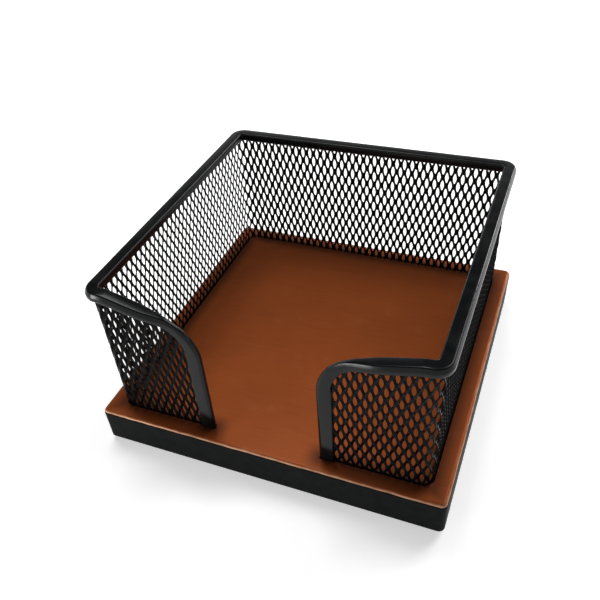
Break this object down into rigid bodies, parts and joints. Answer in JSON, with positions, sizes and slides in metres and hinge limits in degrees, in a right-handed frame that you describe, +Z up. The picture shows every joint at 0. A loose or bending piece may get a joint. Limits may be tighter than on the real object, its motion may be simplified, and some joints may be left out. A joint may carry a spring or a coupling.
{
  "type": "memo pad holder",
  "caption": "Square desk holder for a block of memo sheets: a fence of expanded metal with a notched front and a folded rim, standing on a lacquered wooden board.",
  "frame": {"origin": "under the middle of the board, on the surface that the foot pads stand on", "axes": "+X to the right as seen from the front, +Y to the back, +Z up; the notched front faces -Y"},
  "size_m": [0.107, 0.107, 0.0585],
  "materials": {
    "lacquered_wood": "gloss lacquer on a red-brown top, black paint on the sides",
    "black_rim": "satin black",
    "black_mesh": "satin black",
    "pad_rubber": "matt"
  },
  "bodies": {
    "root": {"base_board": "lacquered_wood", "top_rim": "black_rim", "mesh_right": "black_mesh", "mesh_back": "black_mesh", "mesh_left": "black_mesh", "mesh_front_right": "black_mesh", "mesh_front_left": "black_mesh", "foot_pad_front_left": "pad_rubber", "foot_pad_front_right": "pad_rubber", "foot_pad_back_left": "pad_rubber", "foot_pad_back_right": "pad_rubber"}
  },
  "joints": []
}
